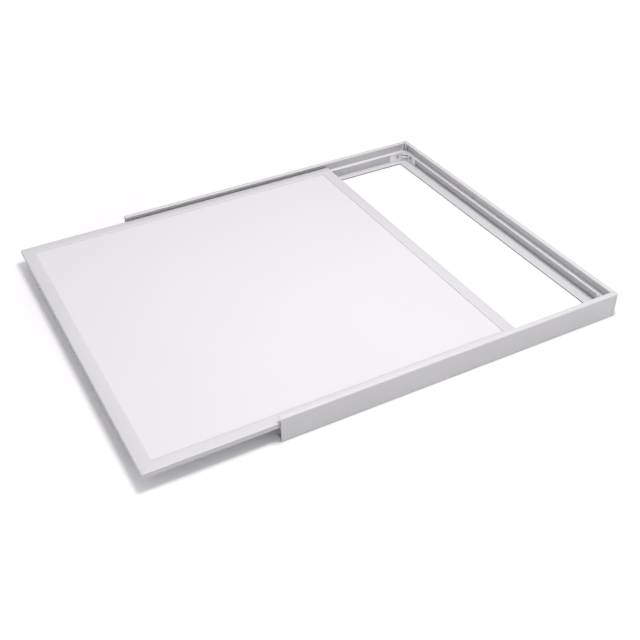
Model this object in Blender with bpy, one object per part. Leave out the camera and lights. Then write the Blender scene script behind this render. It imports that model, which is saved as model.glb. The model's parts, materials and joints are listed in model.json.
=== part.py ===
"""Edge-lit LED panel light lying face up, slid part of the way into its surface-mount frame.

Axes: +X runs from the open side of the frame to its end rail, +Y away from the front rail,
+Z up, away from the ceiling plane that the frame's flanges are screwed to.
Origin: centre of the whole outline in X and Y, ceiling plane in Z. Units are metres.
"""
import math

import bmesh
import bpy
from mathutils import Vector

# ---- shared -------------------------------------------------------------------------------
MM = 0.001
GAP = 0.3 * MM                  # clearance kept between pieces that touch
BITE = 1.0 * MM                 # how far a cutter runs past the face it cuts

# ---- surface-mount frame ------------------------------------------------------------------
FRAME_WIDTH = 604 * MM          # outer face to outer face of the two side rails
FRAME_HEIGHT = 41.5 * MM
FRONT_RAIL_LENGTH = 584 * MM    # from its open end to the outer face of the end rail
BACK_RAIL_LENGTH = 591 * MM
WEB = 1.5 * MM
LIP_REACH = 9 * MM              # outer face to the inner edge of the top lip
LIP_THICKNESS = 1.6 * MM
LIP_RADIUS = 2.4 * MM
FOOT_RADIUS = 0.8 * MM
LEDGE_TOP = 22.5 * MM           # the panel lies on this ledge
LEDGE_REACH = 8.3 * MM
LEDGE_THICKNESS = 1.5 * MM
SIDE_FLANGE_REACH = 15 * MM     # the end rail's flange is the wider one
END_FLANGE_REACH = 22 * MM
FLANGE_THICKNESS = 2 * MM
RIB_OFFSET = 4.7 * MM           # outer face to the rib that holds the bracket arms in
RIB_WIDTH = 1.2 * MM
RIB_TOP = 4.2 * MM
CEILING_HOLE_RADIUS = 2.3 * MM
CEILING_HOLE_OFFSET = 10.6 * MM
CEILING_HOLE_SPOTS = (250 * MM, 530 * MM)   # measured from the end rail's outer face

# ---- corner bracket -----------------------------------------------------------------------
CORNER_RADIUS = 4 * MM
POST_REACH = 8 * MM             # outer corner to the seam with each rail
ARM_LENGTH = 40 * MM
ARM_THICKNESS = 2.6 * MM
ARM_BOTTOM = FLANGE_THICKNESS + GAP
ARM_TOP = LEDGE_TOP - LEDGE_THICKNESS - GAP
CHAMFER = 8.5 * MM
SLOT_HEIGHT = 2.0 * MM
SLOT_DEPTH = 1.9 * MM
SLOT_REACH = 14 * MM
SLOT_LEVELS = (5.9 * MM, 12.0 * MM)
SCREW_SPOT = 22.5 * MM          # outer corner to the screw in each arm
RECESS_LENGTH = 11.5 * MM
RECESS_HEIGHT = 7.6 * MM
RECESS_DEPTH = 0.7 * MM
ARM_HOLE_RADIUS = 2.3 * MM
SET_SCREW_SHANK = 2.0 * MM
SET_SCREW_HEAD = 3.1 * MM
SET_SCREW_HEAD_HEIGHT = 2.0 * MM
SCREW_STEPS = 16

# ---- panel --------------------------------------------------------------------------------
PANEL = 595 * MM
PANEL_THICKNESS = 8 * MM
LEAD_GAP = 183 * MM             # end rail's outer face to the panel's leading edge as shown
BEZEL_WIDTH = 20 * MM
BEZEL_SKIN = 1.0 * MM
BEZEL_WALL = 1.2 * MM
BEZEL_RADIUS = 0.8 * MM
SHELF_REACH = 13 * MM
SHELF_BOTTOM = 1.2 * MM
SHELF_TOP = 2.2 * MM
DIFFUSER = (591.4 * MM, 591.4 * MM, 5.4 * MM, 6.7 * MM)     # X, Y, bottom and top level
LIGHT_GUIDE = (591.0 * MM, 586.8 * MM, 2.6 * MM, 5.1 * MM)
REFLECTOR = (568.2 * MM, 568.2 * MM, 2.0 * MM, 2.3 * MM)
FOAM = (560 * MM, 560 * MM, 1.2 * MM, 1.7 * MM)
BACK_COVER = (579 * MM, 579 * MM, 0.3 * MM, 0.9 * MM)
KEY_INSET = 1.5 * MM
KEY_WIDTH = 6.1 * MM
KEY_ARM = 34 * MM
KEY_LEVELS = (0.3 * MM, 0.9 * MM)
STRIP_LENGTH = 574 * MM
STRIP_THICKNESS = 1.0 * MM
STRIP_LEVELS = (2.5 * MM, 5.1 * MM)
LED_COUNT = 36
LED_SIZE = (3.0 * MM, 0.8 * MM, 1.8 * MM)
COVER_SCREW_INSET = 10.5 * MM
COVER_SCREW_SPREAD = 170 * MM
COVER_HOLE_RADIUS = 1.5 * MM
SMALL_SCREW_SHANK = 1.15 * MM
SMALL_SCREW_HEAD = 2.6 * MM
SMALL_SCREW_HEAD_HEIGHT = 1.1 * MM

# ---- driver on the back cover (levels are below the panel's underside) --------------------
CASE_LENGTH = 150 * MM
CASE_WIDTH = 44 * MM
CASE_TOP = -0.1 * MM
CASE_BOTTOM = -18.3 * MM
CASE_WALL = 1.2 * MM
CASE_FLOOR = 1.4 * MM
LID_THICKNESS = 1.0 * MM
EAR_LENGTH = 11 * MM
EAR_THICKNESS = 1.4 * MM
EAR_WIDTH = 20 * MM
INLET_RADIUS = 3.6 * MM
INLET_LEVEL = -10 * MM
BOARD = (132 * MM, 38 * MM, 1.4 * MM)                      # X, Y and height
BOARD_X = -4 * MM
BOARD_LEVEL = -4.2 * MM
TRANSFORMER = (26 * MM, 22 * MM, 9.5 * MM)
TRANSFORMER_X = -1 * MM
GROOVE = (14 * MM, 6 * MM, 6.5 * MM)
TERMINAL = (11 * MM, 18 * MM, 9 * MM)
TERMINAL_X = -60.5 * MM
TERMINAL_PITCH = 6 * MM
WAY_RADIUS = 1.9 * MM
CAPACITORS = ((-37 * MM, -5 * MM, 4.9 * MM, 20 * MM),      # X, Y, radius and length
              (34 * MM, 6 * MM, 4.4 * MM, 16 * MM))
LEAD_RADIUS = 2.0 * MM
LEAD_LEVEL = -3.2 * MM
LEAD_RUN_X = 118 * MM
LEAD_BEND = 14 * MM
OUTLET_LEVEL = -5.8 * MM
OUTLET_RADIUS = 3.6 * MM
COVER_LEAD_HOLE = 3 * MM
ENTRY = (16 * MM, 20 * MM, 7 * MM)
ENTRY_Y = -72 * MM
CLIP = (14 * MM, 8 * MM, 6.4 * MM)
CLIP_Y = -34 * MM

HALF = PANEL / 2
END_X = (PANEL + LEAD_GAP) / 2                  # outer face of the end rail
FRONT_Y = -FRAME_WIDTH / 2                      # outer face of the front rail
PANEL_X = END_X - LEAD_GAP - HALF
PANEL_Z = LEDGE_TOP + GAP


def clear_scene():
    for thing in list(bpy.data.objects):
        bpy.data.objects.remove(thing, do_unlink=True)


def material(name, color, roughness, metallic=0.0, transmission=0.0):
    mat = bpy.data.materials.new(name)
    mat.use_nodes = True
    shader = mat.node_tree.nodes["Principled BSDF"]
    shader.inputs["Base Color"].default_value = (*color, 1.0)
    shader.inputs["Roughness"].default_value = roughness
    shader.inputs["Metallic"].default_value = metallic
    shader.inputs["Transmission Weight"].default_value = transmission
    mat.diffuse_color = (*color, 1.0)
    return mat


def place(name, bm, mat, parent=None, smooth=False):
    """Close the mesh, face it outward and link it as one object."""
    bmesh.ops.recalc_face_normals(bm, faces=bm.faces)
    mesh = bpy.data.meshes.new(name)
    bm.to_mesh(mesh)
    bm.free()
    mesh.materials.append(mat)
    if smooth:
        mesh.shade_smooth()
        mesh.set_sharp_from_angle(angle=math.radians(32))
    thing = bpy.data.objects.new(name, mesh)
    bpy.context.scene.collection.objects.link(thing)
    thing.parent = parent
    return thing


def extruded(outline, axis, start, end):
    """Closed outline in the plane across an axis, extruded along that axis."""
    spread = {"X": lambda a, b, t: (t, a, b), "Y": lambda a, b, t: (a, t, b),
              "Z": lambda a, b, t: (a, b, t)}[axis]
    bm = bmesh.new()
    face = bm.faces.new([bm.verts.new(spread(a, b, start)) for a, b in outline])
    moved = bmesh.ops.extrude_face_region(bm, geom=[face])["geom"]
    step = Vector(spread(0.0, 0.0, end - start))
    bmesh.ops.translate(bm, vec=step, verts=[v for v in moved if isinstance(v, bmesh.types.BMVert)])
    return bm


def block(low, high):
    """Axis-aligned box between two corners."""
    bm = bmesh.new()
    bmesh.ops.create_cube(bm, size=1.0)
    for vert in bm.verts:
        vert.co = Vector([a + (c + 0.5) * (b - a) for a, b, c in zip(low, high, vert.co)])
    return bm


def turned(profile, steps):
    """Solid of revolution about Z from (radius, height) points that start and end on the axis."""
    bm = bmesh.new()
    chain = [bm.verts.new((radius, 0.0, height)) for radius, height in profile]
    edges = [bm.edges.new(pair) for pair in zip(chain, chain[1:])]
    bmesh.ops.spin(bm, geom=chain + edges, cent=(0, 0, 0), axis=(0, 0, 1),
                   angle=2 * math.pi, steps=steps, use_merge=True)
    bmesh.ops.remove_doubles(bm, verts=bm.verts, dist=1e-6)
    return bm


def rod(center, axis, radius, length, steps=24):
    """Cylinder along an axis, centred on a point."""
    bm = bmesh.new()
    bmesh.ops.create_cone(bm, cap_ends=True, segments=steps, radius1=radius, radius2=radius,
                          depth=length)
    turn = Vector((0, 0, 1)).rotation_difference(Vector(axis)).to_matrix()
    bmesh.ops.rotate(bm, verts=bm.verts, cent=(0, 0, 0), matrix=turn)
    bmesh.ops.translate(bm, vec=Vector(center), verts=bm.verts)
    return bm


def arc(center, radius, start, end, steps):
    """Points along a circular arc, angles in degrees."""
    angles = [math.radians(start + (end - start) * i / steps) for i in range(steps + 1)]
    return [(center[0] + radius * math.cos(a), center[1] + radius * math.sin(a)) for a in angles]


def cut(thing, name, bm, operation="DIFFERENCE"):
    """Boolean with a wire-frame helper that rides on the same parent."""
    mesh = bpy.data.meshes.new(name)
    bmesh.ops.recalc_face_normals(bm, faces=bm.faces)
    bm.to_mesh(mesh)
    bm.free()
    helper = bpy.data.objects.new(name, mesh)
    bpy.context.scene.collection.objects.link(helper)
    helper.parent = thing.parent
    helper.hide_render = True
    helper.display_type = "WIRE"
    boolean = thing.modifiers.new(name, "BOOLEAN")
    boolean.operation = operation
    boolean.object = helper


def frozen(thing):
    """Apply the object's modifiers to its own mesh and drop the helpers they used."""
    graph = bpy.context.evaluated_depsgraph_get()
    mesh = bpy.data.meshes.new_from_object(thing.evaluated_get(graph))
    helpers = [m.object for m in thing.modifiers]
    thing.modifiers.clear()
    thing.data = mesh
    for helper in helpers:
        bpy.data.objects.remove(helper, do_unlink=True)


def rail_outline(flange):
    """Rail section as (distance in from the outer face, height), for one flange reach."""
    lip_bottom = FRAME_HEIGHT - LIP_THICKNESS
    ledge_bottom = LEDGE_TOP - LEDGE_THICKNESS
    rib_end = RIB_OFFSET + RIB_WIDTH
    points = [(flange, 0.0)]
    points += arc((FOOT_RADIUS, FOOT_RADIUS), FOOT_RADIUS, 270, 180, 3)
    points += arc((LIP_RADIUS, FRAME_HEIGHT - LIP_RADIUS), LIP_RADIUS, 180, 90, 6)
    points += [(LIP_REACH, FRAME_HEIGHT), (LIP_REACH, lip_bottom), (WEB, lip_bottom),
               (WEB, LEDGE_TOP), (LEDGE_REACH, LEDGE_TOP), (LEDGE_REACH, ledge_bottom),
               (WEB, ledge_bottom), (WEB, FLANGE_THICKNESS), (RIB_OFFSET, FLANGE_THICKNESS),
               (RIB_OFFSET, RIB_TOP), (rib_end, RIB_TOP), (rib_end, FLANGE_THICKNESS),
               (flange, FLANGE_THICKNESS)]
    return points


def side_rail(name, mat, side, length):
    """Rail along X on one side, -1 front or +1 back, with its ceiling holes."""
    through = side < 0                          # the front rail's lip runs on to the end
    stop = 0.0 if through else LIP_REACH + GAP
    outline = [(side * (FRAME_WIDTH / 2 - u), z) for u, z in rail_outline(SIDE_FLANGE_REACH)]
    rail = place(name, extruded(outline, "X", END_X - length, END_X - stop), mat, smooth=True)
    if through:
        near, reach = -BITE, POST_REACH + GAP
        ceiling = FRAME_HEIGHT - LIP_THICKNESS - GAP
    else:
        near, reach = WEB, END_FLANGE_REACH + GAP
        ceiling = FLANGE_THICKNESS + RIB_TOP
    edges = sorted(side * (FRAME_WIDTH / 2 - u) for u in (near, SIDE_FLANGE_REACH + BITE))
    cut(rail, name + "_corner_cut", block((END_X - reach, edges[0], -BITE),
                                          (END_X + BITE, edges[1], ceiling)))
    if through:
        cut(rail, name + "_rounded_corner", corner_wedge(side))
    for number, spot in enumerate(CEILING_HOLE_SPOTS, 1):
        center = (END_X - spot, side * (FRAME_WIDTH / 2 - CEILING_HOLE_OFFSET), 0.0)
        cut(rail, f"{name}_hole_{number}", rod(center, (0, 0, 1), CEILING_HOLE_RADIUS, 8 * MM))
    return rail


def end_rail(mat):
    """Rail along Y: butts on the front rail's lip and runs over the back corner."""
    outline = [(END_X - u, z) for u, z in rail_outline(END_FLANGE_REACH)]
    start = FRONT_Y + LIP_REACH + GAP
    rail = place("rail_end", extruded(outline, "Y", start, -FRONT_Y), mat, smooth=True)
    inner = END_X - END_FLANGE_REACH - BITE
    cut(rail, "rail_end_front_cut", block((inner, start - BITE, -BITE),
                                          (END_X - WEB, FRONT_Y + SIDE_FLANGE_REACH + GAP,
                                           FLANGE_THICKNESS + RIB_TOP)))
    cut(rail, "rail_end_back_cut", block((inner, -FRONT_Y - POST_REACH - GAP, -BITE),
                                         (END_X + BITE, -FRONT_Y + BITE,
                                          FRAME_HEIGHT - LIP_THICKNESS - GAP)))
    cut(rail, "rail_end_rounded_corner", corner_wedge(1))
    return rail


def corner_point(side, along, inward):
    """Point measured from an outer corner: along the side rail's face and in from it."""
    return (END_X - along, side * (FRAME_WIDTH / 2 - inward))


def corner_wedge(side):
    """What rounding an outer corner takes off a lip that runs over it."""
    points = [(-BITE, -BITE), (CORNER_RADIUS, -BITE)]
    points += arc((CORNER_RADIUS, CORNER_RADIUS), CORNER_RADIUS, 270, 180, 8)
    points += [(-BITE, CORNER_RADIUS)]
    return extruded([corner_point(side, *p) for p in points], "Z",
                    FRAME_HEIGHT - LIP_RADIUS - BITE, FRAME_HEIGHT + BITE)


def corner_bracket(name, mat, side):
    """Cast corner: rounded post between the rails, two arms behind the webs, slotted chamfer."""
    post = [(POST_REACH, 0.0)] + arc((CORNER_RADIUS, CORNER_RADIUS), CORNER_RADIUS, 270, 180, 8)
    post += [(0.0, POST_REACH), (WEB, POST_REACH)]
    post += arc((CORNER_RADIUS, CORNER_RADIUS), CORNER_RADIUS - WEB, 180, 270, 8)
    post += [(POST_REACH, WEB)]
    top = FRAME_HEIGHT - LIP_THICKNESS - 2 * GAP
    bracket = place(name, extruded([corner_point(side, *p) for p in post], "Z", 0.0, top), mat,
                    smooth=True)
    face = WEB + GAP
    inner = face + ARM_THICKNESS
    step = POST_REACH - 0.1 * MM
    body = [(ARM_LENGTH, face), (step, face), (step, WEB / 2)]
    body += arc((CORNER_RADIUS, CORNER_RADIUS), CORNER_RADIUS - WEB / 2, 265, 185, 6)
    body += [(WEB / 2, step), (face, step), (face, ARM_LENGTH), (inner, ARM_LENGTH),
             (inner, inner), (ARM_LENGTH, inner)]
    cut(bracket, name + "_arms", extruded([corner_point(side, *p) for p in body], "Z",
                                          ARM_BOTTOM, ARM_TOP), "UNION")
    deep = inner - SLOT_DEPTH
    web = [(deep, deep), (inner + CHAMFER, deep), (inner + CHAMFER, inner),
           (inner, inner + CHAMFER), (deep, inner + CHAMFER)]
    cut(bracket, name + "_chamfer", extruded([corner_point(side, *p) for p in web], "Z",
                                             RIB_TOP + GAP, ARM_TOP), "UNION")
    slot = [(SLOT_REACH, deep), (deep + CHAMFER + SLOT_DEPTH, deep),
            (deep, deep + CHAMFER + SLOT_DEPTH), (deep, SLOT_REACH), (SLOT_REACH, SLOT_REACH)]
    for number, level in enumerate(SLOT_LEVELS, 1):
        cut(bracket, f"{name}_slot_{number}",
            extruded([corner_point(side, *p) for p in slot], "Z", level, level + SLOT_HEIGHT))
    level = (ARM_BOTTOM + ARM_TOP) / 2
    for number, along_side in enumerate((True, False), 1):
        ends = arc((SCREW_SPOT + (RECESS_LENGTH - RECESS_HEIGHT) / 2, level),
                   RECESS_HEIGHT / 2, -90, 90, 10)
        ends += arc((SCREW_SPOT - (RECESS_LENGTH - RECESS_HEIGHT) / 2, level),
                    RECESS_HEIGHT / 2, 90, 270, 10)
        floor = inner - RECESS_DEPTH
        if along_side:
            outline = [(END_X - a, z) for a, z in ends]
            near = side * (FRAME_WIDTH / 2 - floor)
            recess = extruded(outline, "Y", near, near - side * 3 * MM)
            center = (*corner_point(side, SCREW_SPOT, inner - ARM_THICKNESS / 2), level)
            hole = rod(center, (0, 1, 0), ARM_HOLE_RADIUS, 8 * MM)
        else:
            outline = [(side * (FRAME_WIDTH / 2 - a), z) for a, z in ends]
            recess = extruded(outline, "X", END_X - floor, END_X - floor - 3 * MM)
            center = (*corner_point(side, inner - ARM_THICKNESS / 2, SCREW_SPOT), level)
            hole = rod(center, (1, 0, 0), ARM_HOLE_RADIUS, 8 * MM)
        cut(bracket, f"{name}_recess_{number}", recess)
        cut(bracket, f"{name}_hole_{number}", hole)
    return bracket


def screw_mesh(name, mat, shank, length, head, head_height):
    """Pan-head screw along Z: head above 0, shank below, crossed driver recess."""
    dome = [(head, 0.0), (head, head_height * 0.35)]
    dome += arc((head * 0.45, head_height * 0.35), head_height * 0.65, 30, 90, 2)
    profile = [(0.0, -length), (shank * 0.8, -length), (shank, -length + shank * 0.3),
               (shank, 0.0), *dome, (0.0, head_height)]
    screw = place(name, turned(profile, SCREW_STEPS), mat, smooth=True)
    arm, width, deep = head * 0.5, head * 0.13, head_height * 0.45
    for number, (a, b) in enumerate(((arm, width), (width, arm)), 1):
        cut(screw, f"{name}_cross_{number}", block((-a, -b, head_height - deep),
                                                   (a, b, head_height + BITE)))
    frozen(screw)
    return screw


def screws(name, pattern, spots, direction, parent=None):
    """Copies of one screw, heads facing a direction."""
    turn = Vector((0, 0, 1)).rotation_difference(Vector(direction))
    for number, spot in enumerate(spots, 1):
        copy = bpy.data.objects.new(f"{name}_{number}", pattern.data)
        bpy.context.scene.collection.objects.link(copy)
        copy.rotation_mode = "QUATERNION"
        copy.rotation_quaternion = turn
        copy.location = spot
        copy.parent = parent


def bracket_screws(mat):
    """One screw in each bracket arm, its tip bearing on the rail web behind it."""
    face = WEB + GAP + ARM_THICKNESS - RECESS_DEPTH + GAP
    length = face - WEB - GAP
    level = (ARM_BOTTOM + ARM_TOP) / 2
    pattern = screw_mesh("set_screw", mat, SET_SCREW_SHANK, length, SET_SCREW_HEAD,
                         SET_SCREW_HEAD_HEIGHT)
    for side, label in ((-1, "front"), (1, "back")):
        screws(f"bracket_screw_{label}_side", pattern,
               [(*corner_point(side, SCREW_SPOT, face), level)], (0, -side, 0))
        screws(f"bracket_screw_{label}_end", pattern,
               [(*corner_point(side, face, SCREW_SPOT), level)], (-1, 0, 0))
    bpy.data.objects.remove(pattern, do_unlink=True)


def bezel_outline():
    """Bezel section as (distance in from the panel's edge, height above its underside)."""
    skin = PANEL_THICKNESS - BEZEL_SKIN
    points = [(BEZEL_WALL, 0.0), (0.0, 0.0)]
    points += arc((BEZEL_RADIUS, PANEL_THICKNESS - BEZEL_RADIUS), BEZEL_RADIUS, 180, 90, 4)
    points += [(BEZEL_WIDTH - 0.4 * MM, PANEL_THICKNESS),
               (BEZEL_WIDTH, PANEL_THICKNESS - 0.4 * MM), (BEZEL_WIDTH, skin),
               (BEZEL_WALL, skin), (BEZEL_WALL, SHELF_TOP), (SHELF_REACH, SHELF_TOP),
               (SHELF_REACH, SHELF_BOTTOM), (BEZEL_WALL, SHELF_BOTTOM)]
    return points


def bezel(name, mat, turn, holes, parent):
    """Mitred side of the panel's frame, built along the front edge and then turned about Z."""
    outline = [(s - HALF, h) for s, h in bezel_outline()]
    bm = extruded(outline, "X", -1.0, 1.0)
    for vert in bm.verts:
        vert.co.x *= HALF - (vert.co.y + HALF) - GAP * 0.75
    side = place(name, bm, mat, parent, smooth=True)
    for number, x in enumerate(holes, 1):
        center = (x, COVER_SCREW_INSET - HALF, SHELF_BOTTOM)
        cut(side, f"{name}_hole_{number}", rod(center, (0, 0, 1), COVER_HOLE_RADIUS, 3 * MM, 16))
    frozen(side)
    side.rotation_euler.z = math.radians(turn)
    return side


def corner_key(name, mat, turn, parent):
    """Flat L plate staked under the bezel's shelf across a mitre."""
    near, far = KEY_INSET - HALF, KEY_INSET + KEY_WIDTH - HALF
    tip = KEY_INSET + KEY_ARM - HALF
    outline = [(near, near), (tip, near), (tip, far), (far, far), (far, tip), (near, tip)]
    key = place(name, extruded(outline, "Z", *KEY_LEVELS), mat, parent)
    key.rotation_euler.z = math.radians(turn)
    return key


def sheet(name, mat, size, parent):
    """Flat rectangular layer of the panel's stack."""
    x, y, low, high = size
    return place(name, block((-x / 2, -y / 2, low), (x / 2, y / 2, high)), mat, parent)


def led_strip(name, mat, side, parent):
    """Circuit strip on edge against a bezel wall, with its row of LEDs facing the light guide."""
    wall = HALF - BEZEL_WALL - GAP
    half = STRIP_LENGTH / 2
    low, high = STRIP_LEVELS
    strip = place(name, block((-half, wall - STRIP_THICKNESS, low), (half, wall, high)), mat,
                  parent)
    middle = (low + high) / 2
    pitch = STRIP_LENGTH / LED_COUNT
    comb = [(-half + 2 * MM, 0.3 * MM)]
    for number in range(LED_COUNT):
        center = -half + pitch * (number + 0.5)
        comb += [(center - LED_SIZE[0] / 2, 0.3 * MM), (center - LED_SIZE[0] / 2, -LED_SIZE[1]),
                 (center + LED_SIZE[0] / 2, -LED_SIZE[1]), (center + LED_SIZE[0] / 2, 0.3 * MM)]
    comb += [(half - 2 * MM, 0.3 * MM), (half - 2 * MM, 0.7 * MM), (-half + 2 * MM, 0.7 * MM)]
    row = [(x, wall - STRIP_THICKNESS + y) for x, y in comb]
    cut(strip, name + "_leds", extruded(row, "Z", middle - LED_SIZE[2] / 2,
                                        middle + LED_SIZE[2] / 2), "UNION")
    frozen(strip)
    if side < 0:
        strip.rotation_euler.z = math.pi
    return strip


def back_cover(mat, screw_spots, parent):
    """Steel sheet over the back, with holes for its screws, the driver's screws and the lead."""
    cover = sheet("back_cover", mat, BACK_COVER, parent)
    middle = (BACK_COVER[2] + BACK_COVER[3]) / 2
    for number, (x, y) in enumerate(screw_spots, 1):
        cut(cover, f"back_cover_hole_{number}",
            rod((x, y, middle), (0, 0, 1), COVER_HOLE_RADIUS, 4 * MM, 16))
    cut(cover, "back_cover_lead_hole",
        rod((LEAD_RUN_X, ENTRY_Y - 3 * MM, middle), (0, 0, 1), COVER_LEAD_HOLE, 4 * MM, 16))
    return cover


def cover_screw_spots():
    """Two screws on each side of the back cover."""
    edge = HALF - COVER_SCREW_INSET
    spots = []
    for a in (-COVER_SCREW_SPREAD, COVER_SCREW_SPREAD):
        spots += [(a, -edge), (edge, a), (-a, edge), (-edge, -a)]
    return spots


def driver_screw_spots():
    reach = CASE_LENGTH / 2 + EAR_LENGTH / 2
    return [(-reach, 0.0), (reach, 0.0)]


def driver_case(mat, parent):
    """Tray open downward, its floor against the back cover, with an ear at each end."""
    half_x, half_y = CASE_LENGTH / 2, CASE_WIDTH / 2
    case = place("driver_case", block((-half_x, -half_y, CASE_BOTTOM), (half_x, half_y, CASE_TOP)),
                 mat, parent)
    cut(case, "driver_case_hollow",
        block((-half_x + CASE_WALL, -half_y + CASE_WALL, CASE_BOTTOM - BITE),
              (half_x - CASE_WALL, half_y - CASE_WALL, CASE_TOP - CASE_FLOOR)))
    ears = (-half_x - EAR_LENGTH, -EAR_WIDTH / 2, CASE_TOP - EAR_THICKNESS)
    cut(case, "driver_case_ears", block(ears, (-ears[0], EAR_WIDTH / 2, CASE_TOP)), "UNION")
    for number, (x, y) in enumerate(driver_screw_spots(), 1):
        cut(case, f"driver_case_hole_{number}",
            rod((x, y, CASE_TOP), (0, 0, 1), COVER_HOLE_RADIUS, 6 * MM, 16))
    cut(case, "driver_case_inlet",
        rod((-half_x, 0.0, INLET_LEVEL), (1, 0, 0), INLET_RADIUS, 6 * MM))
    cut(case, "driver_case_outlet",
        rod((half_x, 0.0, OUTLET_LEVEL), (1, 0, 0), OUTLET_RADIUS, 6 * MM))
    return case


def driver_lid(mat, parent):
    """Plate that closes the tray from below, with a rim that locates inside the walls."""
    half_x, half_y = CASE_LENGTH / 2, CASE_WIDTH / 2
    top = CASE_BOTTOM - GAP
    lid = place("driver_lid", block((-half_x, -half_y, top - LID_THICKNESS),
                                    (half_x, half_y, top)), mat, parent)
    inset = CASE_WALL + GAP
    rim = block((-half_x + inset, -half_y + inset, top - LID_THICKNESS / 2),
                (half_x - inset, half_y - inset, top + 2 * MM))
    cut(lid, "driver_lid_rim", rim, "UNION")
    inset += 1.2 * MM
    cut(lid, "driver_lid_inside", block((-half_x + inset, -half_y + inset, top),
                                        (half_x - inset, half_y - inset, top + 3 * MM)))
    return lid


def hung(size, x, y, top):
    """Box of a size, centred on X and Y, hanging from a level."""
    return block((x - size[0] / 2, y - size[1] / 2, top - size[2]),
                 (x + size[0] / 2, y + size[1] / 2, top))


def driver_insides(mats, parent):
    """Board standing off the tray floor with the parts that hang from it."""
    place("driver_board", hung(BOARD, BOARD_X, 0.0, BOARD_LEVEL), mats["board"], parent)
    below = BOARD_LEVEL - BOARD[2] - GAP
    core = place("driver_transformer", hung(TRANSFORMER, TRANSFORMER_X, 0.0, below),
                 mats["ferrite"], parent)
    for number, side in enumerate((-1, 1), 1):
        cut(core, f"driver_transformer_groove_{number}",
            hung(GROOVE, TRANSFORMER_X, side * TRANSFORMER[1] / 2, below - 1.5 * MM))
    for number, (x, y, radius, length) in enumerate(CAPACITORS, 1):
        can = rod((x, y, below - radius), (1, 0, 0), radius, length, 28)
        place(f"driver_capacitor_{number}", can, mats["sleeve"], parent, smooth=True)
    terminal = place("mains_terminal", hung(TERMINAL, TERMINAL_X, 0.0, below),
                     mats["terminal"], parent)
    mouth = TERMINAL_X - TERMINAL[0] / 2
    for number, y in enumerate((-TERMINAL_PITCH, 0.0, TERMINAL_PITCH), 1):
        cut(terminal, f"mains_terminal_way_{number}",
            rod((mouth, y, below - 5.5 * MM), (1, 0, 0), WAY_RADIUS, 12 * MM, 16))


def lead_path():
    """Centre line of the low-voltage lead from the driver's outlet to the panel's entry."""
    outside = CASE_LENGTH / 2
    path = [(outside - 4 * MM, 0.0, OUTLET_LEVEL), (outside + 6 * MM, 0.0, OUTLET_LEVEL),
            (outside + EAR_LENGTH + 6 * MM, 0.0, LEAD_LEVEL - 0.6 * MM)]
    path += [(x, y, LEAD_LEVEL) for x, y in
             arc((LEAD_RUN_X - LEAD_BEND, -LEAD_BEND), LEAD_BEND, 90, 0, 6)]
    path += [(LEAD_RUN_X, CLIP_Y, LEAD_LEVEL), (LEAD_RUN_X, ENTRY_Y + 6 * MM, LEAD_LEVEL)]
    return path


def dc_lead(mat, parent):
    """Round cable swept along its path, closed at both ends."""
    curve = bpy.data.curves.new("dc_lead", "CURVE")
    curve.dimensions = "3D"
    curve.bevel_depth = LEAD_RADIUS
    curve.bevel_resolution = 3
    curve.use_fill_caps = True
    curve.materials.append(mat)
    path = lead_path()
    spline = curve.splines.new("POLY")
    spline.points.add(len(path) - 1)
    for point, spot in zip(spline.points, path):
        point.co = (*spot, 1.0)
    lead = bpy.data.objects.new("dc_lead", curve)
    bpy.context.scene.collection.objects.link(lead)
    lead.parent = parent


def bored_housing(name, mat, size, y, edge, bore_y, parent):
    """Small rounded housing under the back cover with a bore along Y for the lead."""
    housing = place(name, hung(size, LEAD_RUN_X, y, BACK_COVER[2] - GAP), mat, parent)
    bevel = housing.modifiers.new("edges", "BEVEL")
    bevel.width = edge
    bevel.segments = 3
    cut(housing, name + "_bore", rod((LEAD_RUN_X, bore_y, LEAD_LEVEL), (0, 1, 0),
                                     LEAD_RADIUS + GAP, 14 * MM))


def build_frame():
    coat = material("powder_coated_aluminium", (0.86, 0.86, 0.87), 0.38)
    cast = material("cast_zinc", (0.78, 0.78, 0.79), 0.36, 0.6)
    steel = material("zinc_plated_steel", (0.62, 0.62, 0.64), 0.3, 1.0)
    side_rail("rail_front", coat, -1, FRONT_RAIL_LENGTH)
    side_rail("rail_back", coat, 1, BACK_RAIL_LENGTH)
    end_rail(coat)
    corner_bracket("corner_bracket_front", cast, -1)
    corner_bracket("corner_bracket_back", cast, 1)
    bracket_screws(steel)


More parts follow.
